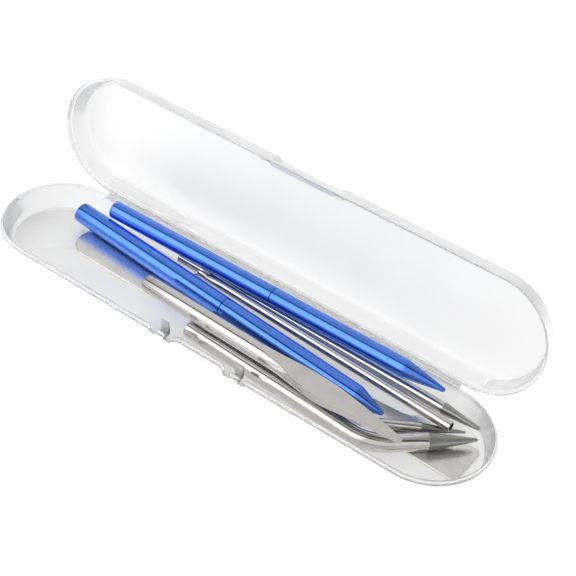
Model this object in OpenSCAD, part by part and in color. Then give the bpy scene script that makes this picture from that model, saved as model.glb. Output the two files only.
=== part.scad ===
// Hand modelling tools in a hinged see-through case, all sizes in millimetres.
// The origin is the centre of the tray's underside. +X runs along the case towards the open
// end of the tube cutter, +Y points to the hinge at the back and +Z is up.
// The lid stands open and the tools lie loose in the tray, crossed over one another.

/* [Case] */
// overall length of the tray rim
case_l = 200; // [190:1:230]
// overall width of the tray rim, which is also the diameter of its round ends
case_w = 44; // [43:0.5:60]
// height of the tray up to its rim ledge
tray_h = 9; // [8.5:0.5:12]
// depth of the lid, measured from the rim ledge
lid_h = 9.8; // [9:0.1:14]
// wall and floor thickness
wall = 1.2; // [1:0.1:1.5]
// how far each wall leans in from its rim to its floor
draft = 1.8; // [1:0.1:2.2]
// radius of the rounded edge round the floor
floor_r = 3; // [2.5:0.1:3.5]
// height of the thin lip that stands on the rim ledge
lip_h = 1.4; // [0.8:0.1:1.8]
// width of the rim ledge outside the lip
ledge = 0.65; // [0.5:0.05:0.7]
// angle the lid stands open
lid_open = 100; // [0:5:150]

/* [Finger recess and latch] */
// position of the recess and latch along the case
latch_x = 1.6; // [-20:0.1:20]
// length of the recess
recess_l = 20; // [16:1:24]
// depth of the recess
recess_d = 1.4; // [0.8:0.1:1.6]
// length of the matching hollow in the front of the lid
lid_recess_l = 26; // [20:1:27]
// depth of that hollow
lid_recess_d = 1.2; // [0.6:0.1:1.4]
// distance between the two latch tabs
latch_gap = 31; // [28:1:34]
// width of a latch tab
tab_w = 3; // [2:0.5:4]
// height of a latch tab's top above the underside of the tray
tab_top = 13; // [11:0.5:13.5]
// width of the notch in the lip beside a tab
notch_w = 3; // [2:0.5:4]

/* [Hinge web] */
// length of the moulded hinge
web_l = 152; // [120:2:156]
// distance from the rim's back edge to the hinge line
web_out = 0.9; // [0.8:0.1:1.2]
// radius of the bead along the hinge line
bead_r = 0.6; // [0.5:0.05:0.7]
// running gap between the bead and the lid's groove
bead_gap = 0.06; // [0.03:0.01:0.1]

/* [Blue pens] */
// diameter of the large pen
pen_b_d = 7.7; // [7:0.1:8]
// length of the large pen
pen_b_l = 142.4; // [135:0.1:145]
// diameter of the slim pen
pen_a_d = 6.6; // [6:0.1:7]
// length of the slim pen
pen_a_l = 140.7; // [135:0.1:145]
// length of the cone at the large pen's point
pen_b_cone = 10.8; // [9:0.1:16]
// length of the cone at the slim pen's point
pen_a_cone = 14.7; // [12:0.1:18]
// radius of the blunt point
pen_tip_r = 0.8; // [0.6:0.1:1.2]
// where the seam lies, as a share of the pen's length
pen_seam = 0.51; // [0.4:0.01:0.55]
// gap at the seam between barrel and cap
seam_gap = 0.2; // [0.1:0.05:0.4]
// radial gap between spigot and cap
spigot_gap = 0.06; // [0.03:0.01:0.1]
// length of the spigot that stands in the cap
spigot_l = 4.2; // [3:0.1:6]
// length of needle beyond the spigot
needle_l = 32; // [20:1:40]

/* [Steel tools] */
// diameter of the knife's round handle
knife_d = 6.4; // [5.5:0.1:6.6]
// length of that handle up to the blade
knife_handle = 52.8; // [45:0.1:60]
// length of the blade
blade_l = 54.5; // [45:0.5:60]
// greatest width of the blade
blade_w = 9.2; // [8.5:0.1:9.4]
// diameter of the thick bent stylus
thick_d = 6.2; // [5.5:0.1:6.4]
// diameter of the thin bent stylus
thin_d = 3.5; // [3:0.1:3.7]
// diameter of the straight stylus
straight_d = 4.4; // [4:0.1:4.5]
// diameter of the tube cutter
tube_d = 3.7; // [3.4:0.1:3.8]
// diameter of the hole through the tube cutter
tube_bore = 2.8; // [2.4:0.1:3]
// thickness of the spatula
spatula_t = 1.2; // [0.8:0.1:1.2]
// length of the spatula
spatula_l = 166.6; // [160:0.1:168]

/* [Hidden] */
end_r = case_w / 2;
mid_l = case_l - case_w;
lean = draft / tray_h;
lean_a = atan(lean);
skirt_gap = 0.15;
rim_gap = 0.15;
skirt_h = lip_h + 0.15;
latch_y = end_r - 2.85;
tab_t = 0.9;
catch_d = 0.8;
notch_z = tray_h - 1.2;
shoulder = 2;
hinge_y = end_r + web_out;
root = 0.15;
reach = 300;
end_cut = 0.3;
elbow_lap = 0.5;
elbow_thin = 0.01;
flare_r = 9.3;
corner_r = 1.6;
$fn = 64;

// ---- shared shapes ----

// puts a tool drawn along +X at its start, at its heading and slope, rolled about its own line
module place(start, heading, slope, roll = 0) {
    translate(start)
        rotate([0, -slope, heading])
            rotate([roll, 0, 0])
                children();
}

module place_pen_a() {
    place([-66.7, 15.65, 11.45], 0.15, 0.1)
        children();
}

module place_pen_b() {
    place([-78.5, 11, 6.4], -5.87, 1.15)
        children();
}

// a body turned about +X from a half profile of [radius, distance] corners
module turned(corners) {
    rotate([0, 90, 0])
        rotate_extrude()
            polygon(corners);
}

// a round rod along +X with its near end chamfered
module rod(d, l) {
    turned([[0, 0], [d / 2 - end_cut, 0], [d / 2, end_cut], [d / 2, l], [0, l]]);
}

// a cone along +X that ends in a small ball
module point(d, l, tip) {
    rotate([0, 90, 0])
        cylinder(h = l - tip, r1 = d / 2, r2 = tip);
    translate([l - tip, 0, 0])
        sphere(r = tip);
}

// ---- case shell ----

// half profile of a drafted pan: r is its radius at the rim, base the height of its floor,
// round the radius of its bottom edge and rim the height of its rim
module pan_half(r, base, round, rim) {
    foot = r - lean * (rim - base);
    corner = foot + lean * round - round / cos(lean_a);
    difference() {
        union() {
            polygon([[0, base], [corner, base],
                [corner + round * cos(lean_a), base + round * (1 - sin(lean_a))],
                [r, rim], [0, rim]]);
            translate([corner, base + round])
                circle(r = round);
        }
        translate([-reach, 0])
            square([reach, reach]);
    }
}

// outside of the tray, with the lip standing on its ledge
module tray_outer_half() {
    pan_half(end_r, 0, floor_r, tray_h);
    translate([0, tray_h - wall / 2])
        square([end_r - ledge, lip_h + wall / 2]);
}

module tray_cavity_half() {
    pan_half(end_r - wall, wall, floor_r - wall, tray_h);
    translate([0, tray_h])
        square([end_r - wall, 2 * lip_h]);
}

module both_sides() {
    children();
    mirror([1, 0])
        children();
}

// sweeps a half profile right round the obround
module obround_ring() {
    for (side = [0, 1])
        mirror([side, 0, 0])
            translate([mid_l / 2, 0, 0])
                rotate([0, 0, -90])
                    rotate_extrude(angle = 180)
                        children();
    run(mid_l)
        both_sides()
            children();
}

// carries a profile drawn in Y and Z along X, centred on the origin
module run(l) {
    translate([-l / 2, 0, 0])
        rotate([90, 0, 90])
            linear_extrude(l)
                children();
}

// plan of a step in the front wall, with sloping shoulders
module step_plan(l, low, high) {
    translate([latch_x, 0, low])
        linear_extrude(high - low)
            polygon([[-l / 2 - shoulder / 2, -reach], [l / 2 + shoulder / 2, -reach],
                [l / 2 + shoulder / 2, -end_r], [l / 2 - shoulder / 2, -end_r + 2 * wall],
                [l / 2 - shoulder / 2, 0], [-l / 2 + shoulder / 2, 0],
                [-l / 2 + shoulder / 2, -end_r + 2 * wall], [-l / 2 - shoulder / 2, -end_r]]);
}

// what a front wall loses on one face when it steps back by d
module stepped_off(d) {
    difference() {
        both_sides()
            children();
        translate([d, 0])
            both_sides()
                children();
        square([reach, reach]);
    }
}

module tray_shell() {
    difference() {
        obround_ring()
            difference() {
                tray_outer_half();
                tray_cavity_half();
            }
        // the recess takes material off the outside
        intersection() {
            run(mid_l)
                stepped_off(recess_d)
                    tray_outer_half();
            step_plan(recess_l, -1, tray_h + 2 * lip_h);
        }
    }
    // and gives it back on the inside
    intersection() {
        run(mid_l)
            stepped_off(recess_d)
                tray_cavity_half();
        step_plan(recess_l + 2 * wall, wall / 2, tray_h + lip_h);
    }
}

module lip_notch(x) {
    translate([x, -end_r, notch_z])
        cube([notch_w, 2 * wall, 2 * lip_h + wall]);
}

// an upright tab just inside the lip, on a foot that joins it to the wall
module latch_tab() {
    translate([-tab_w / 2, -latch_y, notch_z])
        cube([tab_w, tab_t, tab_top - notch_z]);
    translate([-tab_w / 2, -end_r + wall, notch_z])
        cube([tab_w, end_r - wall - latch_y + tab_t / 2, tray_h - notch_z]);
}

module case_tray() {
    color([0.93, 0.94, 0.95, 0.5]) {
        difference() {
            tray_shell();
            for (side = [-1, 1])
                translate([latch_x + side * latch_gap / 2, 0, 0]) {
                    lip_notch(tab_w / 2);
                    lip_notch(-tab_w / 2 - notch_w);
                }
        }
        for (side = [-1, 1])
            translate([latch_x + side * latch_gap / 2, 0, 0])
                latch_tab();
    }
}

// ---- hinge ----

module hinge_web() {
    color([0.93, 0.94, 0.95, 0.5])
        translate([0, hinge_y, tray_h]) {
            run(web_l)
                circle(r = bead_r);
            // the neck that joins the bead to the back wall
            run(web_l)
                polygon([[-web_out - root, -rim_gap], [-bead_r / 2, -rim_gap],
                    [0, -bead_r * 0.7], [-web_out - root - lean, -bead_r * 2]]);
        }
}

// the lid's flange, hooked round the bead while the lid is shut
module flange_profile() {
    difference() {
        polygon([[-web_out - wall / 3, rim_gap], [-web_out - wall / 3, 1.5], [-0.1, 1.3],
            [0.35, 1.1], [0.35, rim_gap]]);
        circle(r = bead_r + bead_gap);
        translate([0, -reach])
            square([reach, reach + bead_r * 0.75]);
    }
}

// ---- lid, drawn shut and then swung open ----

// turns a pan profile over so that its rim meets the tray's
module turned_over() {
    translate([0, tray_h + lid_h])
        mirror([0, 1])
            children();
}

module lid_outer_half() {
    difference() {
        turned_over()
            pan_half(end_r, 0, floor_r, lid_h);
        square([reach, tray_h + rim_gap]);
    }
}

module lid_cavity_half() {
    turned_over()
        pan_half(end_r - wall, wall, floor_r - wall, lid_h);
    square([end_r - ledge + skirt_gap, tray_h + skirt_h]);
}

module lid_shut() {
    flange_z = tray_h + skirt_h;
    difference() {
        obround_ring()
            difference() {
                lid_outer_half();
                lid_cavity_half();
            }
        // the hollow leaves the rim standing out as a pull for a fingertip
        intersection() {
            run(mid_l)
                stepped_off(lid_recess_d)
                    lid_outer_half();
            step_plan(lid_recess_l, flange_z + wall, tray_h + 2 * lid_h);
        }
    }
    intersection() {
        run(mid_l)
            stepped_off(lid_recess_d)
                lid_cavity_half();
        step_plan(lid_recess_l + 2 * wall, flange_z, tray_h + lid_h - wall / 2);
    }
    for (side = [-1, 1])
        translate([latch_x + side * latch_gap / 2 - tab_w / 2, -end_r + wall, flange_z])
            cube([tab_w, catch_d, catch_d]);
    translate([0, hinge_y, tray_h])
        run(web_l)
            flange_profile();
}

module case_lid() {
    color([0.95, 0.96, 0.97, 0.4])
        translate([0, hinge_y, tray_h])
            rotate([-lid_open, 0, 0])
                translate([0, -hinge_y, -tray_h])
                    lid_shut();
}

// ---- blue pens ----

// the barrel ends in a socket that holds the spigot
module pen_barrel(d, l) {
    seam = l * pen_seam;
    seat = d * 0.62 / 2;
    turned([[0, 0], [d / 2 - 0.5, 0], [d / 2, 0.5], [d / 2, seam - 0.2],
        [d / 2 - 0.2, seam], [seat, seam], [seat, seam - 12], [0, seam - 12]]);
}

module pen_spigot(d, l) {
    seam = l * pen_seam;
    seat = d * 0.62 / 2;
    hole = d * 0.08;
    tip = seam + spigot_l;
    turned([[hole, seam - 11.8], [seat, seam - 11.8], [seat, tip - 0.5],
        [seat - 0.5, tip], [hole * 2, tip + 1], [hole, tip + 1]]);
}

module pen_needle(d, l) {
    seam = l * pen_seam;
    hole = d * 0.08;
    tip = seam + spigot_l + 1 + needle_l;
    turned([[0, seam - 10], [hole, seam - 10], [hole, tip - 8], [0.05, tip], [0, tip]]);
}

module pen_cap(d, l, cone) {
    seam = l * pen_seam + seam_gap;
    socket = d * 0.62 / 2 + spigot_gap;
    neck = d * 0.2;
    inner = seam + spigot_l + 1.5;
    difference() {
        union() {
            turned([[0, seam], [d / 2 - 0.2, seam], [d / 2, seam + 0.2],
                [d / 2, l - cone], [0, l - cone]]);
            translate([l - cone, 0, 0])
                point(d, cone, pen_tip_r);
        }
        turned([[0, seam - 1], [socket, seam - 1], [socket, inner],
            [neck, inner + 1.5], [neck, inner + needle_l + 1.5],
            [0, inner + needle_l + 1.5 + neck]]);
    }
}

module pen_b_barrel() {
    color([0.18, 0.4, 0.85])
        place_pen_b()
            pen_barrel(pen_b_d, pen_b_l);
}

module pen_b_spigot() {
    color([0.75, 0.76, 0.78])
        place_pen_b()
            pen_spigot(pen_b_d, pen_b_l);
}

module pen_b_needle() {
    color([0.8, 0.8, 0.8])
        place_pen_b()
            pen_needle(pen_b_d, pen_b_l);
}

module pen_b_cap() {
    color([0.18, 0.4, 0.85])
        place_pen_b()
            pen_cap(pen_b_d, pen_b_l, pen_b_cone);
}

module pen_a_barrel() {
    color([0.18, 0.4, 0.85])
        place_pen_a()
            pen_barrel(pen_a_d, pen_a_l);
}

module pen_a_spigot() {
    color([0.75, 0.76, 0.78])
        place_pen_a()
            pen_spigot(pen_a_d, pen_a_l);
}

module pen_a_needle() {
    color([0.8, 0.8, 0.8])
        place_pen_a()
            pen_needle(pen_a_d, pen_a_l);
}

module pen_a_cap() {
    color([0.18, 0.4, 0.85])
        place_pen_a()
            pen_cap(pen_a_d, pen_a_l, pen_a_cone);
}

// ---- steel tools ----

// leaf outline, widest before its middle, that bellies towards the front and has a blunt point
module blade_plan() {
    l = blade_l;
    w = blade_w;
    polygon([[0, -0.34 * w], [0.12 * l, -0.37 * w], [0.25 * l, -0.48 * w],
        [0.35 * l, -0.55 * w], [0.43 * l, -0.59 * w], [0.5 * l, -0.57 * w],
        [0.7 * l, -0.42 * w], [0.92 * l, -0.27 * w], [0.98 * l, -0.23 * w],
        [l, -0.16 * w], [l, -0.01 * w], [0.98 * l, 0.05 * w], [0.92 * l, 0.1 * w],
        [0.7 * l, 0.25 * w], [0.5 * l, 0.39 * w], [0.43 * l, 0.41 * w],
        [0.35 * l, 0.4 * w], [0.25 * l, 0.37 * w], [0.12 * l, 0.34 * w], [0, 0.34 * w]]);
}

// seen from the side the flat face dips from the handle to the point, and the belly rises
module blade_side() {
    r = knife_d / 2;
    l = blade_l;
    polygon([[-6, r], [-6, -r], [0, -r], [0.3 * l, -0.93 * r], [0.45 * l, -0.8 * r],
        [0.7 * l, -0.6], [0.92 * l, -0.3], [l, 0], [l, 0.5], [0.92 * l, 0.95],
        [0.7 * l, 1.8], [0.45 * l, 0.62 * r], [0.2 * l, 0.75 * r], [-1, r]]);
}

module leaf_knife() {
    belly_r = knife_d * 0.81;
    color([0.72, 0.71, 0.69])
        place([-32.35, -6.2, 10.8], -2.8, 0.7, -5) {
            rod(knife_d, knife_handle - 1);
            translate([knife_handle, 0, 0])
                intersection() {
                    union() {
                        translate([0, 0, -knife_d])
                            linear_extrude(2 * knife_d)
                                blade_plan();
                        rotate([0, 90, 0])
                            translate([0, 0, -1])
                                cylinder(h = blade_l * 0.85, r1 = knife_d / 2, r2 = 0.6);
                    }
                    translate([0, knife_d, 0])
                        rotate([90, 0, 0])
                            linear_extrude(2 * knife_d)
                                blade_side();
                    // rounds the belly from edge to edge
                    translate([-6, 0, belly_r - knife_d / 2])
                        rotate([0, 90, 0])
                            cylinder(h = blade_l + 12, r = belly_r);
                }
        }
}

// a rod that turns through a smooth elbow and ends in a point; bending draws the elbow a
// hair thinner than the rod, and it runs a little way into the rod at both ends
module bent_stylus(d, straight, elbow_r, turn, arm, cone, tip) {
    rod(d, straight);
    translate([straight, elbow_r, 0]) {
        rotate([0, 0, -90 - elbow_lap])
            rotate_extrude(angle = turn + 2 * elbow_lap)
                translate([elbow_r, 0])
                    circle(r = d / 2 - elbow_thin);
        rotate([0, 0, turn])
            translate([0, -elbow_r, 0]) {
                rotate([0, 90, 0])
                    cylinder(h = arm, r = d / 2);
                translate([arm, 0, 0])
                    point(d, cone, tip);
            }
    }
}

module thick_stylus() {
    color([0.62, 0.6, 0.57])
        place([-11.1, -9.5, 4.6], -3.8, 1, -1.8)
            bent_stylus(thick_d, 69.2, 15, 46.5, 13.2, 16.4, 0.6);
}

module thin_stylus() {
    color([0.62, 0.6, 0.57])
        place([-10, -2.2, 4.4], -4.5, 0)
            bent_stylus(thin_d, 63.6, 8.3, 36.5, 18, 14.4, 0.4);
}

module straight_stylus() {
    color([0.62, 0.6, 0.57])
        place([-36.8, 17.4, 4.25], -0.97, 0.05) {
            rod(straight_d, 111.8);
            translate([111.8, 0, 0])
                point(straight_d, 13.8, 0.7);
        }
}

// the near end is cut on a slant like a quill
module tube_cutter() {
    color([0.62, 0.6, 0.57])
        place([-26.45, 13.7, 6.55], -3.3, 0.5)
            difference() {
                rod(tube_d, 108.7);
                translate([-1, 0, 0])
                    rotate([0, 90, 0])
                        cylinder(h = reach, r = tube_bore / 2);
                translate([0, tube_d, 0])
                    rotate([90, 0, 0])
                        linear_extrude(2 * tube_d)
                            polygon([[-1, -tube_d * 0.4], [7, tube_d], [-1, tube_d]]);
            }
}

// a broad tongue that narrows into a slim handle and flares through a hollow into a paddle
module spatula_plan() {
    tongue = 15;
    grip = 8.2;
    waist = 10.4;
    paddle = 16.3;
    flare_x = 136;
    flare_dip = 0.05;
    square_l = spatula_l - corner_r;
    translate([tongue / 2, 0])
        circle(r = tongue / 2);
    difference() {
        polygon([[tongue / 2, -tongue / 2], [37, -tongue / 2], [43, -4.8], [50, -grip / 2],
            [125.3, -grip / 2], [flare_x, -waist / 2], [flare_x, -paddle / 2],
            [square_l, -paddle / 2], [square_l, paddle / 2], [flare_x, paddle / 2],
            [flare_x, waist / 2], [125.3, grip / 2], [50, grip / 2], [43, 4.8],
            [37, tongue / 2], [tongue / 2, tongue / 2]]);
        for (side = [-1, 1])
            translate([flare_x, side * (waist / 2 + flare_r - flare_dip)])
                circle(r = flare_r);
    }
    translate([square_l - 1, corner_r - paddle / 2])
        square([corner_r + 1, paddle - 2 * corner_r]);
    for (side = [-1, 1])
        translate([square_l, side * (paddle / 2 - corner_r)])
            circle(r = corner_r);
}

module spatula() {
    color([0.66, 0.64, 0.6])
        place([-73.3, 4.86, wall + 0.05], -1.32, 0)
            linear_extrude(spatula_t)
                spatula_plan();
}

case_tray();
hinge_web();
case_lid();
pen_b_barrel();
pen_b_spigot();
pen_b_needle();
pen_b_cap();
pen_a_barrel();
pen_a_spigot();
pen_a_needle();
pen_a_cap();
leaf_knife();
thick_stylus();
thin_stylus();
straight_stylus();
tube_cutter();
spatula();
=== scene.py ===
"""Hand modelling tools in a frosted hinged case: looks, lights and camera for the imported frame.

Lengths in the tables below are in millimetres, as the CAD source gives them, and turn into
metres when a mesh is made. Every piece is drawn where its CAD node lies and rides its body.
"""

import math

import bmesh
import bpy
from mathutils import Matrix, Vector


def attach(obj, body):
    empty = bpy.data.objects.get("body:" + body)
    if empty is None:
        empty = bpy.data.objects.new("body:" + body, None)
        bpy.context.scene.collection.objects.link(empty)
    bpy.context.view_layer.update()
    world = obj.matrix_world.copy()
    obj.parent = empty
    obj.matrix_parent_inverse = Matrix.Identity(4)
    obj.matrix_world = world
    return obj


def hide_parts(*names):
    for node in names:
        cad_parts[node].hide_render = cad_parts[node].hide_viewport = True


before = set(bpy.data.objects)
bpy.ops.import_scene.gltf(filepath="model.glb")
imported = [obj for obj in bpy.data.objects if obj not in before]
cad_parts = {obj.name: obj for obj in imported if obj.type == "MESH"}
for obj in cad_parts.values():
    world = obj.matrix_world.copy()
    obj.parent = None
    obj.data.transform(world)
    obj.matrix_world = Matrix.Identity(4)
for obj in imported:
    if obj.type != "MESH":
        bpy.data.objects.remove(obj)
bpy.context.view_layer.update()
MM = 0.001

# ---- case sizes ----
CASE_L, CASE_W = 200.0, 44.0
END_R = CASE_W / 2
MID = (CASE_L - CASE_W) / 2
TRAY_H, LID_H = 9.0, 9.8
WALL, DRAFT, FLOOR_R = 1.2, 1.8, 3.0
LEAN = DRAFT / TRAY_H
LIP_H, LEDGE, SKIRT_H = 1.4, 0.65, 1.55
RIM_GAP, SKIRT_GAP = 0.15, 0.15
HINGE = Vector((0.0, END_R + 0.9, TRAY_H))
LID_OPEN = 100.0
EDGE = 0.16
FLOOR_RING = 15.0
FOOT_STEPS = 8
TRAY_WALL_Z = (4.0, 5.5, 7.0, TRAY_H - 1.2, 8.4)
LID_WALL_Z = (4.0, 5.5, 6.4, 7.0, 7.6)
# steps along the lid's outer wall in its profile: the flat's edge, the rounded foot, the wall
LID_OUTER_STEPS = 1 + (FOOT_STEPS + 1) + (len(LID_WALL_Z) + 2)
# where the lid's finger step fades out on its way up the outer wall, counted from the top
LID_STEP_FROM, LID_STEP_TO = 6.6, 7.4

# ---- latch and finger recess ----
LATCH_X, LATCH_GAP = 1.6, 31.0
RECESS_L, RECESS_D, RECESS_EASE = 20.0, 1.4, 3.2
LID_RECESS_L, LID_RECESS_D = 26.0, 1.2
TAB_W, TAB_T, TAB_TOP = 3.0, 0.9, 13.0
NOTCH_W = 3.0
NOTCH_Z = TRAY_H - 1.2
LATCH_Y = END_R - 2.85
TAB_FOOT_Z, TAB_BARB_Z = NOTCH_Z - 0.4, 10.6
CATCH_SIZE = 0.8

# ---- lid's grooved hinge flange: section about the hinge line ----
WEB_L = 152.0
FLANGE = (
    (-1.3, 0.15), (-0.655, 0.15), (-0.6, 0.3), (-0.45, 0.49), (-0.2, 0.63), (0.0, 0.66),
    (0.2, 0.63), (0.35, 0.56), (0.42, 0.85), (0.3, 1.1), (0.0, 1.25), (-0.7, 1.42), (-1.3, 1.5),
)

# ---- how each tool lies: start, heading, slope and roll in degrees ----
LIES = {
    "pen_a": ((-66.7, 15.65, 11.45), 0.15, 0.1, 0.0),
    "pen_b": ((-78.5, 11.0, 6.4), -5.87, 1.15, 0.0),
    "leaf_knife": ((-32.35, -6.2, 10.8), -2.8, 0.7, -5.0),
    "thick_stylus": ((-11.1, -9.5, 4.6), -3.8, 1.0, -1.8),
    "thin_stylus": ((-10.0, -2.2, 4.4), -4.5, 0.0, 0.0),
    "straight_stylus": ((-36.8, 17.4, 4.25), -0.97, 0.05, 0.0),
    "tube_cutter": ((-26.45, 13.7, 6.55), -3.3, 0.5, 0.0),
    "spatula": ((-73.3, 4.86, 1.25), -1.32, 0.0, 0.0),
}
PENS = {"pen_a": (6.6, 140.7, 14.7), "pen_b": (7.7, 142.4, 10.8)}
PEN_TIP_R, PEN_SEAM, SEAM_GAP = 0.8, 0.51, 0.2
SPIGOT_L, NEEDLE_L = 4.2, 32.0
PEN_SIDES, ROD_SIDES, NEEDLE_SIDES = 64, 40, 24
NOTHING = 0.01

# ---- rods: diameter, straight run, bend radius, bend, arm, cone and tip radius ----
BENT_RODS = {
    "thick_stylus": (6.2, 69.2, 15.0, 46.5, 13.2, 16.4, 0.6),
    "thin_stylus": (3.5, 63.6, 8.3, 36.5, 18.0, 14.4, 0.4),
}
BEND_STEPS = 20
ROD_EDGE = 0.3
STRAIGHT_D, STRAIGHT_SHAFT, STRAIGHT_CONE, STRAIGHT_TIP_R = 4.4, 111.8, 13.8, 0.7
TUBE_R, TUBE_BORE_R, TUBE_L, TUBE_SLANT = 1.85, 1.4, 108.7, 7.0
TUBE_NEAR, TUBE_MIDDLE = 12.0, 60.0

# ---- spatula: half widths, then lengths and radii ----
TONGUE, GRIP, WAIST, PADDLE = 7.5, 4.1, 5.2, 8.15
SPATULA_L, FLARE_AT, FLARE_R, FLARE_TURN, CORNER_R = 166.6, 136.3, 9.3, 42.8, 1.6
SPATULA_T, SPATULA_EDGE = 1.2, 0.32

# ---- camera ----
CAM_TARGET = (0.00559, 0.02406, 0.010)
CAM_DISTANCE, CAM_AZIMUTH, CAM_ELEVATION, CAM_ROLL = 0.4523, 31.85, 42.17, 6.07
CAM_LENS, CAM_SENSOR = 81.36, 36.0

# ---- studio ----
FLOOR_HALF, FLOOR_DROP, FLOOR_GLOW = 1500.0, 0.0002, 1.12
# brightness of the dome from the front horizon, over the top, to the back horizon
DOME_STOPS = (
    (0.0, 0.40), (0.04, 0.8), (0.09, 1.9), (0.385, 1.9),
    (0.415, 0.10), (0.475, 0.10), (0.51, 0.84), (1.0, 0.92),
)
# the dome is at full strength along this side direction and fades away from it
DOME_SIDE, DOME_FADE_FROM, DOME_FADE_TO, DOME_FAR = -0.39, 0.28, 0.5, 0.5


# ================= small maths =================


def smooth(a, b, x):
    """0 below a, 1 above b and an eased step between them."""
    t = min(1.0, max(0.0, (x - a) / (b - a)))
    return t * t * (3 - 2 * t)


def arc(cx, cz, r, start, stop, steps):
    """Points round an arc, angles in degrees from the profile's outward direction."""
    out = []
    for i in range(steps + 1):
        a = math.radians(start + (stop - start) * i / steps)
        out.append((cx + r * math.cos(a), cz + r * math.sin(a)))
    return out


def lie_of(name):
    """The placement of a tool in the frame, in millimetres."""
    start, heading, slope, roll = LIES[name]
    turn = (
        Matrix.Rotation(math.radians(heading), 4, "Z")
        @ Matrix.Rotation(math.radians(-slope), 4, "Y")
        @ Matrix.Rotation(math.radians(roll), 4, "X")
    )
    return Matrix.Translation(Vector(start)) @ turn


# ================= mesh helpers =================


def add_mesh(name, verts, faces, uvs=None, sharp=38.0):
    """A shaded mesh object from points in millimetres; uvs holds one pair per point."""
    mesh = bpy.data.meshes.new(name)
    mesh.from_pydata([tuple(c * MM for c in v) for v in verts], [], faces)
    mesh.validate()
    for p in mesh.polygons:
        p.use_smooth = True
    mesh.set_sharp_from_angle(angle=math.radians(sharp))
    if uvs is not None:
        layer = mesh.uv_layers.new(name="UVMap")
        for loop in mesh.loops:
            u, v = uvs[loop.vertex_index]
            layer.data[loop.index].uv = (u * MM, v * MM)
    obj = bpy.data.objects.new(name, mesh)
    bpy.context.scene.collection.objects.link(obj)
    return obj


def rings_mesh(rings, lengths, capped=True):
    """Points, faces and uvs for a skin over closed rings of equal count."""
    count = len(rings[0])
    verts, uvs, faces = [], [], []
    for ring, at in zip(rings, lengths):
        run = 0.0
        for k, p in enumerate(ring):
            if k:
                run += (Vector(p) - Vector(ring[k - 1])).length
            verts.append(tuple(p))
            uvs.append((at, run))
    for i in range(len(rings) - 1):
        for k in range(count):
            a, b = i * count + k, i * count + (k + 1) % count
            faces.append((a, b, b + count, a + count))
    if capped:
        faces.append(tuple(range(count))[::-1])
        last = (len(rings) - 1) * count
        faces.append(tuple(range(last, last + count)))
    return verts, faces, uvs


def turned(profile, count=48):
    """Skin of a body turned about +X from (distance, radius) pairs."""
    rings, lengths = [], []
    for x, r in profile:
        ring = []
        for k in range(count):
            a = 2 * math.pi * k / count
            ring.append((x, -r * math.sin(a), r * math.cos(a)))
        rings.append(ring)
        lengths.append(x)
    return rings_mesh(rings, lengths)


def moved(part, matrix):
    verts, faces, uvs = part
    return [tuple(matrix @ Vector(v)) for v in verts], faces, uvs


def joined(*parts):
    verts, faces, uvs = [], [], []
    for v, f, u in parts:
        base = len(verts)
        verts += v
        uvs += u
        faces += [tuple(i + base for i in face) for face in f]
    return verts, faces, uvs


def soft_box(low, high, r=0.2):
    """A block with rounded edges, as points, faces and uvs."""
    bm = bmesh.new()
    bmesh.ops.create_cube(bm, size=1.0)
    for v in bm.verts:
        v.co = Vector([low[i] + (v.co[i] + 0.5) * (high[i] - low[i]) for i in range(3)])
    bmesh.ops.bevel(bm, geom=bm.edges[:], offset=r, segments=3, affect="EDGES", profile=0.5)
    bm.verts.ensure_lookup_table()
    verts = [tuple(v.co) for v in bm.verts]
    faces = [tuple(v.index for v in f.verts) for f in bm.faces]
    bm.free()
    return verts, faces, [(v[0], v[1]) for v in verts]


def finish_piece(obj, body, material, nodes):
    """Gives a piece its material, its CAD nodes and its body."""
    obj.data.materials.append(material)
    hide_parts(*nodes)
    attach(obj, body)
    return obj


# ================= case =================


def pan_corner(r, base, round_r, rim):
    """Distance out to the centre of the rounded foot of a wall that reaches r at its rim."""
    lean_a = math.atan(LEAN)
    foot = r - LEAN * (rim - base)
    return foot + LEAN * round_r - round_r / math.cos(lean_a)


def wall_up(r, base, round_r, rim):
    """The rounded foot of a drafted wall, from its flat floor up to the tangent point."""
    lean_deg = math.degrees(math.atan(LEAN))
    cx = pan_corner(r, base, round_r, rim)
    return arc(cx, base + round_r, round_r, -90, -lean_deg, FOOT_STEPS)


def tray_profile():
    """(distance out, height) round the tray's wall, from outside to inside over the lip."""
    lip_out, lip_in = END_R - LEDGE, END_R - WALL
    top = TRAY_H + LIP_H
    out = [(FLOOR_RING, 0.0)] + wall_up(END_R, 0.0, FLOOR_R, TRAY_H)
    out += [(END_R - LEAN * (TRAY_H - z), z) for z in TRAY_WALL_Z]
    out += arc(END_R - EDGE, TRAY_H - EDGE, EDGE, -8, 90, 4)
    out += [(lip_out + 0.08, TRAY_H), (lip_out, TRAY_H + 0.08)]
    out += arc(lip_out - EDGE, top - EDGE, EDGE, 0, 90, 3)
    out += arc(lip_in + EDGE, top - EDGE, EDGE, 90, 180, 3)
    inner = wall_up(END_R - WALL, WALL, FLOOR_R - WALL, TRAY_H)[::-1]
    out += [(lip_in, TRAY_H)]
    out += [(lip_in - LEAN * (TRAY_H - z), z) for z in TRAY_WALL_Z[::-1]]
    return out + inner + [(FLOOR_RING, WALL)]


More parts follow.
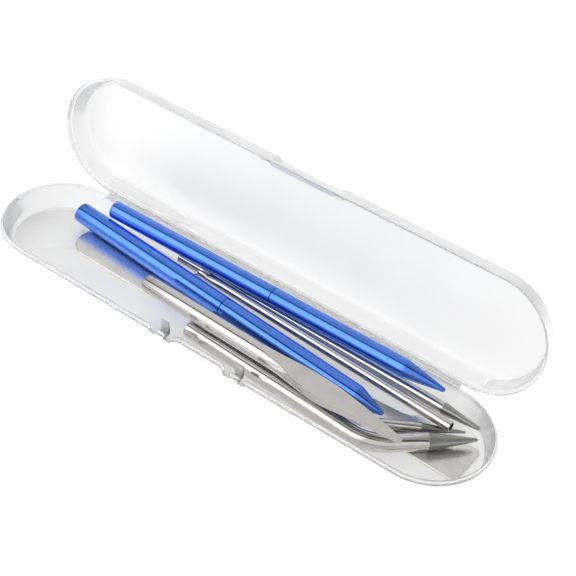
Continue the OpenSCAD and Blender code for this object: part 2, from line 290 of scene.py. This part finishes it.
def lid_profile():
    """Drawn like a pan that stands on its ceiling; z is then counted down from the top."""
    skirt_in, wall_in = END_R - LEDGE + SKIRT_GAP, END_R - WALL
    rim, step = LID_H - RIM_GAP, LID_H - SKIRT_H
    out = [(FLOOR_RING, 0.0)] + wall_up(END_R, 0.0, FLOOR_R, LID_H)
    out += [(END_R - LEAN * (LID_H - z), z) for z in (*LID_WALL_Z, step, 9.0)]
    out += arc(END_R - EDGE, rim - EDGE, EDGE, -8, 90, 4)
    out += arc(skirt_in + EDGE, rim - EDGE, EDGE, 90, 180, 3)
    out += [(skirt_in, step + 0.06), (skirt_in - 0.06, step)]
    out += [(wall_in - LEAN * (LID_H - step) + 0.1, step)]
    out += [(wall_in - LEAN * (LID_H - z), z) for z in (step - 0.1, *LID_WALL_Z[::-1])]
    inner = wall_up(END_R - WALL, WALL, FLOOR_R - WALL, LID_H)[::-1]
    return out + inner + [(FLOOR_RING, WALL)]


def stations():
    """(base point, outward direction) round the obround, finest along the latch."""
    out = []
    turns = 44
    for side in (1, -1):
        for i in range(turns + 1):
            a = math.radians(-90 + 180 * i / turns)
            out.append(((side * MID, 0.0), (side * math.cos(a), side * math.sin(a))))
        if side == 1:
            xs = [MID - 2 * MID * i / 40 for i in range(1, 40)]
            out += [((x, 0.0), (0.0, 1.0)) for x in xs]
    xs = {-MID + 2 * MID * i / 60 for i in range(1, 60)}
    xs |= {LATCH_X - 26 + 0.5 * i for i in range(105)}
    for side in (-1, 1):
        tab = LATCH_X + side * LATCH_GAP / 2
        for edge in (TAB_W / 2, TAB_W / 2 + NOTCH_W):
            for s in (-1, 1):
                at = tab + s * edge
                xs |= {at - 0.01, at + 0.01, at + 0.12, at - 0.12}
    out += [((x, 0.0), (0.0, -1.0)) for x in sorted(xs)]
    return out


def in_notch(x):
    """Whether x lies in one of the four notches of the lip beside the latch tabs."""
    for side in (-1, 1):
        off = abs(x - (LATCH_X + side * LATCH_GAP / 2))
        if TAB_W / 2 < off < TAB_W / 2 + NOTCH_W:
            return True
    return False


def recess_ease(x, length):
    """1 within a recess of this length at the latch and 0 past its eased ends."""
    half = length / 2
    return 1 - smooth(half - RECESS_EASE / 2, half + RECESS_EASE / 2, abs(x - LATCH_X))


def tray_point(base, way, r, z, k):
    """A point of the tray, with its notches and its finger recess."""
    if way[1] == -1.0 and in_notch(base[0]) and z > NOTCH_Z:
        z = NOTCH_Z
        r = min(r, END_R - LEAN * (TRAY_H - NOTCH_Z))
    x, y = base[0] + way[0] * r, base[1] + way[1] * r
    if way[1] == -1.0:
        y += RECESS_D * recess_ease(x, RECESS_L) * smooth(FLOOR_RING, FLOOR_RING + 3, r)
    return (x, y, z)


def lid_point(base, way, r, z, k):
    """A point of the lid, drawn shut, with the step in its front."""
    x, y = base[0] + way[0] * r, base[1] + way[1] * r
    if way[1] == -1.0:
        step = LID_H - SKIRT_H
        if k < LID_OUTER_STEPS:
            depth = 1 - smooth(LID_STEP_FROM, LID_STEP_TO, z)
        else:
            depth = 1 - smooth(step - 0.02, step + 0.03, z)
        ease = recess_ease(x, LID_RECESS_L)
        y += LID_RECESS_D * ease * depth * smooth(FLOOR_RING, FLOOR_RING + 3, r)
    return (x, y, TRAY_H + LID_H - z)


def pan_mesh(profile, place, flip):
    """Sweeps a profile round the obround and closes the two flats."""
    ring = stations()
    n, m = len(ring), len(profile)
    verts, uvs = [], []
    for i, (base, way) in enumerate(ring):
        for k, (r, z) in enumerate(profile):
            verts.append(place(base, way, r, z, k))
            uvs.append((verts[-1][0], verts[-1][1]))
    faces = []
    for i in range(n):
        j = (i + 1) % n
        for k in range(m - 1):
            faces.append((i * m + k, j * m + k, j * m + k + 1, i * m + k + 1))
    faces.append(tuple(i * m for i in range(n))[::-1])
    faces.append(tuple(i * m + m - 1 for i in range(n)))
    if flip:
        faces = [f[::-1] for f in faces]
    return verts, faces, uvs


def latch_tabs():
    """The two latch tabs: each an upright, a foot that joins the wall and a barb."""
    parts = []
    for side in (-1, 1):
        x = LATCH_X + side * LATCH_GAP / 2
        lo, hi = x - TAB_W / 2, x + TAB_W / 2
        back = -LATCH_Y + TAB_T
        parts.append(soft_box((lo, -LATCH_Y, TAB_FOOT_Z), (hi, back, TAB_TOP), 0.22))
        parts.append(soft_box((lo, -END_R + 1.0, TAB_FOOT_Z), (hi, -LATCH_Y + 0.4, TRAY_H), 0.15))
        parts.append(soft_box((lo, -LATCH_Y + 0.1, NOTCH_Z), (hi, back + 0.2, TAB_BARB_Z), 0.2))
    return parts


def lid_fittings():
    """The lid's two catches and its grooved hinge flange, drawn shut."""
    parts = []
    y, z = -END_R + WALL, TRAY_H + SKIRT_H
    for side in (-1, 1):
        x = LATCH_X + side * LATCH_GAP / 2
        low, high = (x - TAB_W / 2, y, z), (x + TAB_W / 2, y + CATCH_SIZE, z + CATCH_SIZE)
        parts.append(soft_box(low, high, 0.15))
    ends = (-WEB_L / 2, 0.0, WEB_L / 2)
    rings = [[(x, HINGE.y + a, HINGE.z + b) for a, b in FLANGE] for x in ends]
    parts.append(rings_mesh(rings, ends))
    return parts


def build_case(plastic):
    """Tray and lid as new skins; the hinge bead keeps its CAD mesh and takes the plastic."""
    tray = joined(pan_mesh(tray_profile(), tray_point, True), *latch_tabs())
    obj = add_mesh("case_tray_shell", *tray)
    finish_piece(obj, "tray", plastic, ["case_tray"])
    swing = (
        Matrix.Translation(HINGE)
        @ Matrix.Rotation(math.radians(-LID_OPEN), 4, "X")
        @ Matrix.Translation(-HINGE)
    )
    lid = moved(joined(pan_mesh(lid_profile(), lid_point, False), *lid_fittings()), swing)
    obj = add_mesh("case_lid_shell", *lid)
    finish_piece(obj, "lid", plastic, ["case_lid"])
    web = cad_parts["hinge_web"]
    web.data.materials.clear()
    web.data.materials.append(plastic)


# ================= blue pens =================


def edge_round(x, r, size, leading):
    """(distance, radius) pairs that round the edge of a disc at x."""
    out = []
    for i in range(5):
        a = math.radians(90 * i / 4)
        if leading:
            out.append((x + size * (1 - math.sin(a)), r - size * (1 - math.cos(a))))
        else:
            out.append((x - size * (1 - math.sin(a)), r - size * (1 - math.cos(a))))
    return out[::-1] if leading else out


def ball_end(x, r, tip_x, tip_r):
    """Cone from radius r at x down to a small ball that ends at tip_x."""
    centre = tip_x - tip_r
    lean = math.asin((r - tip_r) / math.hypot(centre - x, r - tip_r))
    out = []
    for i in range(7):
        a = lean + (math.pi / 2 - lean) * i / 6
        out.append((centre + tip_r * math.sin(a), max(tip_r * math.cos(a), NOTHING)))
    return out


def pen_profiles(d, length, point):
    """Profiles of a pen's barrel, spigot, needle and cap, and of the bore inside the cap."""
    r, seam = d / 2, length * PEN_SEAM
    seat, hole = d * 0.62 / 2, d * 0.08
    barrel = [(0.0, NOTHING)] + edge_round(0.0, r, 0.55, True)
    barrel += [(x, r) for x in (8.0, 30.0, seam - 2.0)] + edge_round(seam, r, 0.14, False)
    barrel += [(seam, seat), (seam - 12.0, seat), (seam - 12.0, NOTHING)]
    tip = seam + SPIGOT_L
    spigot = [(seam - 11.8, hole), (seam - 11.8, seat), (tip - 0.5, seat), (tip, seat - 0.5)]
    spigot += [(tip + 1.0, hole * 2), (tip + 1.0, hole)]
    needle = [(seam - 10.0, hole), (tip + NEEDLE_L - 7.0, hole), (tip + NEEDLE_L + 1.0, 0.06)]
    s = seam + SEAM_GAP
    cone = length - point
    cap = [(s, seat + 0.06)] + edge_round(s, r, 0.14, True)
    cap += [(s + 3.0, r), (s + 30.0, r), (cone - 1.6, r), (cone - 0.7, r - 0.02)]
    cap += [(cone, r - 0.11), (cone + 0.8, r - 0.3)] + ball_end(cone, r, length, PEN_TIP_R)
    inner, neck = s + SPIGOT_L + 1.3, d * 0.2
    bore = [(inner, seat + 0.06), (inner + 1.5, neck), (inner + NEEDLE_L + 1.5, neck)]
    bore += [(inner + NEEDLE_L + 1.5 + neck, NOTHING)]
    return barrel, spigot, needle, cap, bore


def build_pen(name, blue, bare, steel):
    """One pen as its four pieces; only the cap rides the cap's own body."""
    lie = lie_of(name)
    barrel, spigot, needle, cap, bore = pen_profiles(*PENS[name])
    obj = add_mesh(name + "_barrel_piece", *moved(turned(barrel, PEN_SIDES), lie))
    finish_piece(obj, name, blue, [name + "_barrel"])
    obj = add_mesh(name + "_spigot_piece", *moved(turned(spigot), lie))
    finish_piece(obj, name, bare, [name + "_spigot"])
    obj = add_mesh(name + "_needle_piece", *moved(turned(needle, NEEDLE_SIDES), lie))
    finish_piece(obj, name, steel, [name + "_needle"])
    obj = add_mesh(name + "_cap_piece", *moved(turned(bore[::-1] + cap, PEN_SIDES), lie))
    finish_piece(obj, name + "_cap", blue, [name + "_cap"])


# ================= steel tools =================


def circle_ring(centre, along, r):
    """A ring of points round a centre, square to the direction along, which lies flat."""
    side = Vector((-along.y, along.x, 0.0)).normalized()
    up = Vector((0.0, 0.0, 1.0))
    out = []
    for k in range(ROD_SIDES):
        a = 2 * math.pi * k / ROD_SIDES
        out.append(tuple(centre + side * (-r * math.sin(a)) + up * (r * math.cos(a))))
    return out


def bent_rod(d, straight, elbow_r, turn, arm, cone, tip):
    """Rod, bend, arm and pointed end in one skin, and the index where the cone starts."""
    r = d / 2
    rings, lengths = [], []
    east = Vector((1.0, 0.0, 0.0))
    for x, q in [(0.0, NOTHING)] + edge_round(0.0, r, ROD_EDGE, True) + [(straight * 0.5, r)]:
        rings.append(circle_ring(Vector((x, 0, 0)), east, q))
        lengths.append(x)
    for i in range(BEND_STEPS + 1):
        a = math.radians(turn * i / BEND_STEPS)
        centre = Vector((straight + elbow_r * math.sin(a), elbow_r * (1 - math.cos(a)), 0))
        along = Vector((math.cos(a), math.sin(a), 0))
        rings.append(circle_ring(centre, along, r))
        lengths.append(straight + elbow_r * a)
    start, run = centre, lengths[-1]
    tail = [(arm * 0.5, r), (arm - 0.15, r)]
    shaft = len(rings) + len(tail)
    tail += [(arm, r - 0.02), (arm + 0.15, r - 0.1)]
    tail += [(arm + x, q) for x, q in ball_end(0.0, r, cone, tip)]
    for x, q in tail:
        rings.append(circle_ring(start + along * x, along, q))
        lengths.append(run + x)
    return rings_mesh(rings, lengths), shaft * ROD_SIDES


def split_finish(obj, material, first_vertex):
    """Gives faces past a vertex index the second material, as the ground point has."""
    obj.data.materials.append(material)
    for p in obj.data.polygons:
        if min(p.vertices) >= first_vertex:
            p.material_index = 1


def build_rods(rod, ground):
    """The two bent styluses, then the straight one."""
    for name, size in BENT_RODS.items():
        part, first = bent_rod(*size)
        obj = add_mesh(name + "_piece", *moved(part, lie_of(name)))
        finish_piece(obj, name, rod, [name])
        split_finish(obj, ground, first)
    r, shaft = STRAIGHT_D / 2, STRAIGHT_SHAFT
    profile = [(0.0, NOTHING)] + edge_round(0.0, r, ROD_EDGE, True)
    profile += [(50.0, r), (shaft - 0.15, r)]
    first = len(profile) * ROD_SIDES
    profile += [(shaft, r - 0.02)]
    profile += [(shaft + x, q) for x, q in ball_end(0.0, r, STRAIGHT_CONE, STRAIGHT_TIP_R)]
    part = moved(turned(profile, ROD_SIDES), lie_of("straight_stylus"))
    obj = add_mesh("straight_stylus_piece", *part)
    finish_piece(obj, "straight_stylus", rod, ["straight_stylus"])
    split_finish(obj, ground, first)


def build_tube(rod):
    """Tube with a through bore, its near end cut on a slant and its far end square."""
    r, bore, far = TUBE_R, TUBE_BORE_R, round(TUBE_L)

    def cut(z):
        return max(0.0, (z + 0.55 * r) / (1.55 * r)) * TUBE_SLANT * 0.95

    def ring(q, at=None, extra=0.0):
        """A ring of radius q square across the tube at a distance, or along the slant."""
        out = []
        for k in range(ROD_SIDES):
            a = 2 * math.pi * k / ROD_SIDES
            y, z = -q * math.sin(a), q * math.cos(a)
            out.append((cut(z) + extra if at is None else at, y, z))
        return out

    rings = [ring(bore, extra=0.05), ring(r - 0.06), ring(r, extra=0.08)]
    rings += [ring(r, TUBE_NEAR), ring(r, TUBE_MIDDLE), ring(r, TUBE_L - 0.12)]
    rings += [ring(r - 0.1, TUBE_L), ring(bore + 0.06, TUBE_L), ring(bore, TUBE_L - 0.06)]
    rings += [ring(bore, TUBE_MIDDLE), ring(bore, TUBE_NEAR)]
    lengths = [0, 0, 0, TUBE_NEAR, TUBE_MIDDLE, far, far, far, far, TUBE_MIDDLE, TUBE_NEAR]
    verts, faces, uvs = rings_mesh(rings, lengths, False)
    last = (len(rings) - 1) * ROD_SIDES
    for k in range(ROD_SIDES):
        j = (k + 1) % ROD_SIDES
        faces.append((last + k, last + j, j, k))
    obj = add_mesh("tube_cutter_piece", *moved((verts, faces, uvs), lie_of("tube_cutter")))
    finish_piece(obj, "tube_cutter", rod, ["tube_cutter"])


KNIFE_R, KNIFE_HANDLE, BLADE_L = 3.2, 52.8, 54.5
# share of the blade's length, then back edge, front edge, face height, side's foot, belly
BLADE = (
    (-0.06, 3.2, 3.2, 3.2, 0.0, -3.2),
    (0.0, 3.2, 3.2, 2.95, 0.0, -3.2),
    (0.12, 3.15, 3.4, 2.55, 0.0, -3.15),
    (0.25, 3.4, 4.4, 2.25, 0.0, -3.0),
    (0.35, 3.7, 5.1, 2.1, -0.2, -2.8),
    (0.43, 3.8, 5.4, 2.0, -0.3, -2.6),
    (0.5, 3.65, 5.25, 1.97, -0.3, -2.2),
    (0.7, 2.35, 3.9, 1.8, 0.0, -0.6),
    (0.92, 0.95, 2.5, 0.95, 0.1, -0.3),
    (0.98, 0.5, 2.1, 0.65, 0.2, -0.1),
    (1.0, 0.1, 1.7, 0.55, 0.35, 0.1),
)


def blade_at(share):
    """The blade's section at a share of its length, eased through the stations above."""
    if share <= BLADE[0][0]:
        return BLADE[0][1:]
    last = len(BLADE) - 1
    for i in range(last):
        if share <= BLADE[i + 1][0] or i == last - 1:
            break
    before, a, b, after = BLADE[max(i - 1, 0)], BLADE[i], BLADE[i + 1], BLADE[min(i + 2, last)]
    step = b[0] - a[0]
    u = min(1.0, (share - a[0]) / step)
    out = []
    for k in range(1, 6):
        slope_a = (b[k] - before[k]) / max(b[0] - before[0], 0.001) * step
        slope_b = (after[k] - a[k]) / max(after[0] - a[0], 0.001) * step
        out.append(
            (2 * u**3 - 3 * u**2 + 1) * a[k] + (u**3 - 2 * u**2 + u) * slope_a
            + (3 * u**2 - 2 * u**3) * b[k] + (u**3 - u**2) * slope_b
        )
    return out


def knife_ring(t, face_pts, belly_pts):
    """One section of the knife at t: the flat on top, then round underneath."""
    share = (t - KNIFE_HANDLE) / BLADE_L
    back, front, face, foot, belly = blade_at(share)
    flatness = smooth(0.0, 0.3, share)
    lift = math.asin(min(1.0, max(0.02, face / KNIFE_R)))
    narrow = math.cos(lift) + (1 - math.cos(lift)) * flatness
    ring = []
    for i in range(face_pts):
        across = 1 - 2 * i / (face_pts - 1)
        side = back if across > 0 else front
        ring.append((t, across * max(side * narrow - EDGE, 0.4 * side * narrow), face))
    low = max(lift - 0.06, 0.02)
    for i in range(belly_pts):
        a = math.pi - low + (math.pi + 2 * low) * i / (belly_pts - 1)
        c, up = math.cos(a), math.sin(a)
        side = back if c > 0 else front
        if up > 0:
            y = side * (c + (math.copysign(1.0, c) - c) * flatness)
            round_z = KNIFE_R * up
            z = round_z + (foot + (face - 0.05 - foot) * up / math.sin(low) - round_z) * flatness
        else:
            y, z = side * c, foot + (foot - belly) * up
        ring.append((t, y, min(z, face - 0.04)))
    return ring


def build_knife(rod, ground):
    """Round handle that turns into the leaf blade; the flat face takes the ground steel."""
    stops = [0.0, 0.05, 0.3, 20.0, KNIFE_HANDLE - 6.0]
    stops += [KNIFE_HANDLE - 3.3 + (BLADE_L + 3.3) * i / 90 for i in range(91)]
    face_pts, belly_pts = 9, 41
    rings = []
    for t in stops:
        shrink = 1.0
        if t < 0.3:
            shrink = 0.9 + 0.1 * math.sqrt(max(0.0, 1 - (1 - t / 0.3) ** 2))
        ring = knife_ring(t, face_pts, belly_pts)
        rings.append([(p[0], p[1] * shrink, p[2] * shrink) for p in ring])
    count = face_pts + belly_pts
    verts, faces, _ = rings_mesh(rings, stops)
    uvs = [(v[0], v[1] + 1.7 * v[2]) for v in verts]
    part = moved((verts, faces, uvs), lie_of("leaf_knife"))
    obj = add_mesh("leaf_knife_piece", *part, sharp=50.0)
    finish_piece(obj, "leaf_knife", rod, ["leaf_knife"])
    obj.data.materials.append(ground)
    for p in obj.data.polygons:
        cols = [v % count for v in p.vertices]
        if max(cols) < face_pts and min(p.vertices) // count > 4 and len(p.vertices) == 4:
            p.material_index = 1


def spatula_outline():
    """One side of the outline from tongue to square end, as (distance, half width)."""
    out = []
    for i in range(19):
        a = math.radians(90 * i / 18)
        out.append((TONGUE - TONGUE * math.cos(a), TONGUE * math.sin(a)))
    out += [(x, TONGUE) for x in (20.0, 30.0, 37.0)] + [(40.0, 6.0), (43.0, 4.8), (46.0, 4.3)]
    out += [(50.0, GRIP), (90.0, GRIP), (125.3, GRIP)]
    for i in range(15):
        a = math.radians(FLARE_TURN * i / 14)
        half = WAIST + FLARE_R * (1 - math.cos(a))
        out.append((FLARE_AT + FLARE_R * math.sin(a), min(half, PADDLE)))
    centre, inner = SPATULA_L - CORNER_R, PADDLE - CORNER_R
    for i in range(9):
        a = math.radians(90 * i / 8)
        out.append((centre + CORNER_R * math.sin(a), inner + CORNER_R * math.cos(a)))
    return out


def build_spatula(ground):
    """The flat spatula, a plate with rounded edges cut to its outline."""
    side = spatula_outline()
    loop = [(x, -y) for x, y in side] + [(x, y) for x, y in side[::-1][:-1]]
    clean = [loop[0]]
    for p in loop[1:]:
        if math.dist(p, clean[-1]) > 0.02:
            clean.append(p)
    n, thick, edge = len(clean), SPATULA_T, SPATULA_EDGE

    def inset(amount):
        out = []
        for i in range(n):
            a, b = Vector(clean[i - 1]), Vector(clean[(i + 1) % n])
            way = (b - a).normalized()
            out.append((clean[i][0] - way.y * amount, clean[i][1] + way.x * amount))
        return out

    levels = []
    for i in range(5):
        a = math.radians(90 * i / 4)
        levels.append((edge * (1 - math.sin(a)), edge * (1 - math.cos(a))))
    levels += [(0.0, thick - edge)]
    for i in range(1, 5):
        a = math.radians(90 * i / 4)
        levels.append((edge * (1 - math.cos(a)), thick - edge * (1 - math.sin(a))))
    rings = []
    for amount, z in levels:
        rings.append([(x, y, z) for x, y in inset(amount)])
    verts, faces, _ = rings_mesh(rings, [0] * len(rings))
    uvs = [(v[0], v[1] + v[2]) for v in verts]
    obj = add_mesh("spatula_piece", *moved((verts, faces, uvs), lie_of("spatula")))
    finish_piece(obj, "spatula", ground, ["spatula"])


# ================= materials =================


class Nodes:
    """A short way to write a material's nodes."""

    def __init__(self, name):
        self.material = bpy.data.materials.new(name)
        self.material.use_nodes = True
        self.tree = self.material.node_tree
        self.shader = self.tree.nodes["Principled BSDF"]

    def new(self, kind, **settings):
        node = self.tree.nodes.new(kind)
        for key, value in settings.items():
            setattr(node, key, value)
        return node

    def link(self, a, b):
        self.tree.links.new(a, b)

    def space(self, which, scale):
        coords = self.new("ShaderNodeTexCoord")
        mapping = self.new("ShaderNodeMapping")
        mapping.inputs["Scale"].default_value = scale
        self.link(coords.outputs[which], mapping.inputs["Vector"])
        return mapping.outputs["Vector"]

    def noise(self, vector, scale, detail):
        node = self.new("ShaderNodeTexNoise")
        node.inputs["Scale"].default_value = scale
        node.inputs["Detail"].default_value = detail
        node.inputs["Roughness"].default_value = 0.55
        self.link(vector, node.inputs["Vector"])
        return node.outputs["Fac"]

    def spread(self, value, low, high):
        """Stretches the middle of a noise over low to high."""
        node = self.new("ShaderNodeMapRange")
        node.inputs["From Min"].default_value = 0.3
        node.inputs["From Max"].default_value = 0.7
        node.inputs["To Min"].default_value = low
        node.inputs["To Max"].default_value = high
        self.link(value, node.inputs["Value"])
        return node.outputs["Result"]

    def tint(self, value, dark, light):
        node = self.new("ShaderNodeMix", data_type="RGBA")
        node.inputs["A"].default_value = (*dark, 1)
        node.inputs["B"].default_value = (*light, 1)
        self.link(value, node.inputs["Factor"])
        return node.outputs["Result"]

    def bump(self, height, distance, strength):
        node = self.new("ShaderNodeBump")
        node.inputs["Strength"].default_value = strength
        node.inputs["Distance"].default_value = distance
        self.link(height, node.inputs["Height"])
        self.link(node.outputs["Normal"], self.shader.inputs["Normal"])

    def put(self, name, value):
        if hasattr(value, "is_linked"):
            self.link(value, self.shader.inputs[name])
        else:
            self.shader.inputs[name].default_value = value


def frosted_plastic():
    """Milky see-through polypropylene with a fine moulded frost and slow cloudiness."""
    n = Nodes("frosted_plastic")
    cloud = n.noise(n.space("Object", (1, 1, 1)), 55.0, 3.0)
    frost = n.noise(n.space("Object", (1, 1, 1)), 2600.0, 2.0)
    n.put("Base Color", n.tint(n.spread(cloud, 0, 1), (0.83, 0.83, 0.828), (0.855, 0.855, 0.852)))
    n.put("Roughness", n.spread(cloud, 0.44, 0.56))
    n.put("Transmission Weight", 0.8)
    n.put("IOR", 1.32)
    n.bump(frost, 0.00002, 0.15)
    return n.material


def blue_anodised():
    """Satin anodised aluminium with faint lathe rings and fine blasted grain."""
    n = Nodes("blue_anodised")
    grain = n.noise(n.space("Object", (1, 1, 1)), 5200.0, 2.0)
    rings = n.noise(n.space("UV", (9000, 30, 1)), 1.0, 2.0)
    patch = n.noise(n.space("Object", (1, 1, 1)), 120.0, 3.0)
    n.put("Base Color", n.tint(n.spread(patch, 0, 1), (0.088, 0.225, 0.74), (0.100, 0.245, 0.80)))
    n.put("Metallic", 1.0)
    n.put("Roughness", n.spread(grain, 0.13, 0.19))
    mix = n.new("ShaderNodeMath", operation="ADD")
    n.link(grain, mix.inputs[0])
    n.link(rings, mix.inputs[1])
    n.bump(mix.outputs[0], 0.000006, 0.5)
    return n.material


def rod_steel():
    """Polished stainless rod with hair-fine streaks along its length."""
    n = Nodes("rod_steel")
    streak = n.noise(n.space("UV", (120, 9000, 1)), 1.0, 3.0)
    patch = n.noise(n.space("UV", (260, 700, 1)), 1.0, 2.0)
    n.put("Base Color", n.tint(n.spread(patch, 0, 1), (0.57, 0.553, 0.53), (0.62, 0.603, 0.58)))
    n.put("Metallic", 1.0)
    n.put("Roughness", n.spread(streak, 0.10, 0.17))
    n.bump(streak, 0.000004, 0.4)
    return n.material


def ground_steel(name, light, dark, low, high):
    """Satin ground steel, grained along its length, as on blades and points."""
    n = Nodes(name)
    grain = n.noise(n.space("UV", (700, 5200, 1)), 1.0, 4.0)
    haze = n.noise(n.space("Object", (1, 1, 1)), 160.0, 4.0)
    n.put("Base Color", n.tint(n.spread(haze, 0, 1), dark, light))
    n.put("Metallic", 1.0)
    n.put("Roughness", n.spread(grain, low, high))
    n.bump(grain, 0.000012, 0.5)
    return n.material


def bare_aluminium():
    """Turned aluminium without colour, as on the spigots."""
    n = Nodes("bare_aluminium")
    rings = n.noise(n.space("UV", (6000, 20, 1)), 1.0, 2.0)
    n.put("Base Color", n.tint(n.spread(rings, 0, 1), (0.72, 0.73, 0.75), (0.82, 0.83, 0.85)))
    n.put("Metallic", 1.0)
    n.put("Roughness", n.spread(rings, 0.22, 0.34))
    n.bump(rings, 0.00001, 0.5)
    return n.material


def needle_steel():
    """Bright drawn steel, as on the needles."""
    n = Nodes("needle_steel")
    streak = n.noise(n.space("UV", (150, 8000, 1)), 1.0, 2.0)
    n.put("Base Color", n.tint(n.spread(streak, 0, 1), (0.7, 0.69, 0.67), (0.78, 0.77, 0.75)))
    n.put("Metallic", 1.0)
    n.put("Roughness", n.spread(streak, 0.12, 0.2))
    n.bump(streak, 0.000004, 0.4)
    return n.material


# ================= studio =================


def build_floor():
    """A plain white sweep, lit from the dome and a little by itself as a light table is."""
    n = Nodes("studio_floor")
    haze = n.noise(n.space("Object", (1, 1, 1)), 3.0, 2.0)
    n.put("Base Color", n.tint(haze, (0.20, 0.20, 0.20), (0.22, 0.22, 0.22)))
    n.put("Roughness", 0.9)
    n.put("Emission Color", (1.0, 1.0, 1.0, 1.0))
    n.put("Emission Strength", FLOOR_GLOW)
    half = FLOOR_HALF
    corners = [(-half, -half, 0), (half, -half, 0), (half, half, 0), (-half, half, 0)]
    obj = add_mesh("floor", corners, [(0, 1, 2, 3)])
    obj.location.z = -FLOOR_DROP
    obj.data.materials.append(n.material)


def softbox(name, place, width, height, power):
    """A rectangular area light that faces the part."""
    light = bpy.data.lights.new(name, "AREA")
    light.shape = "RECTANGLE"
    light.size, light.size_y = width, height
    light.energy = power
    obj = bpy.data.objects.new(name, light)
    obj.location = place
    way = (-Vector(place)).normalized()
    obj.rotation_euler = way.to_track_quat("-Z", "Y").to_euler()
    bpy.context.scene.collection.objects.link(obj)


def dome_math(tree, operation, first, second=None):
    """A maths node of the dome; its second value is a socket, a number or none."""
    node = tree.nodes.new("ShaderNodeMath")
    node.operation = operation
    tree.links.new(first, node.inputs[0])
    if isinstance(second, float):
        node.inputs[1].default_value = second
    elif second is not None:
        tree.links.new(second, node.inputs[1])
    return node.outputs[0]


def dome_range(tree, value, start, stop, low, high):
    node = tree.nodes.new("ShaderNodeMapRange")
    node.inputs["From Min"].default_value = start
    node.inputs["From Max"].default_value = stop
    node.inputs["To Min"].default_value = low
    node.inputs["To Max"].default_value = high
    tree.links.new(value, node.inputs["Value"])
    return node.outputs["Result"]


def build_dome():
    """A bright studio dome with a darker seam overhead, which polished rods show as a line."""
    world = bpy.data.worlds.new("studio_dome")
    bpy.context.scene.world = world
    world.use_nodes = True
    tree = world.node_tree
    back = tree.nodes["Background"]
    coords = tree.nodes.new("ShaderNodeTexCoord")
    parts = tree.nodes.new("ShaderNodeSeparateXYZ")
    tree.links.new(coords.outputs["Generated"], parts.inputs[0])
    front = dome_math(tree, "MULTIPLY", parts.outputs["Y"], -1.0)
    angle = dome_math(tree, "ARCTAN2", parts.outputs["Z"], front)
    ramp = tree.nodes.new("ShaderNodeValToRGB")
    tree.links.new(dome_range(tree, angle, 0.0, math.pi, 0.0, 1.0), ramp.inputs["Fac"])
    items = ramp.color_ramp.elements
    while len(items) < len(DOME_STOPS):
        items.new(0.5)
    for item, (at, value) in zip(items, DOME_STOPS):
        item.position = at
        item.color = (value, value, value, 1)
    tree.links.new(ramp.outputs["Color"], back.inputs["Color"])
    aside = dome_math(tree, "ADD", parts.outputs["X"], -DOME_SIDE)
    away = dome_math(tree, "ABSOLUTE", aside)
    strength = dome_range(tree, away, DOME_FADE_FROM, DOME_FADE_TO, 1.0, DOME_FAR)
    tree.links.new(strength, back.inputs["Strength"])


def build_lights():
    build_dome()
    softbox("front_left", (-0.65, -1.15, 0.75), 1.0, 0.8, 0.6)


def build_camera():
    """The camera at the photograph's viewing angle."""
    cam = bpy.data.cameras.new("camera")
    cam.sensor_width, cam.lens = CAM_SENSOR, CAM_LENS
    cam.clip_start, cam.clip_end = 0.01, 20.0
    az, el = math.radians(CAM_AZIMUTH), math.radians(CAM_ELEVATION)
    roll = math.radians(CAM_ROLL)
    target = Vector(CAM_TARGET)
    back = Vector((math.sin(az) * math.cos(el), -math.cos(az) * math.cos(el), math.sin(el)))
    right = Vector((math.cos(az), math.sin(az), 0.0))
    up = back.cross(right)
    right_r = right * math.cos(roll) + up * math.sin(roll)
    up_r = up * math.cos(roll) - right * math.sin(roll)
    matrix = Matrix((right_r, up_r, back)).transposed().to_4x4()
    matrix.translation = target + back * CAM_DISTANCE
    obj = bpy.data.objects.new("camera", cam)
    bpy.context.scene.collection.objects.link(obj)
    obj.matrix_world = matrix
    bpy.context.scene.camera = obj


def main():
    scene = bpy.context.scene
    scene.view_settings.view_transform = "Standard"
    build_camera()
    build_case(frosted_plastic())
    blue, bare, needle = blue_anodised(), bare_aluminium(), needle_steel()
    for name in PENS:
        build_pen(name, blue, bare, needle)
    rod = rod_steel()
    point = ground_steel("point_steel", (0.42, 0.42, 0.41), (0.32, 0.32, 0.31), 0.28, 0.4)
    blade = ground_steel("blade_steel", (0.72, 0.69, 0.66), (0.66, 0.63, 0.60), 0.38, 0.5)
    sheet = ground_steel("sheet_steel", (0.82, 0.80, 0.77), (0.72, 0.70, 0.67), 0.24, 0.38)
    build_rods(rod, point)
    build_tube(rod)
    build_knife(rod, blade)
    build_spatula(sheet)
    build_floor()
    build_lights()


main()
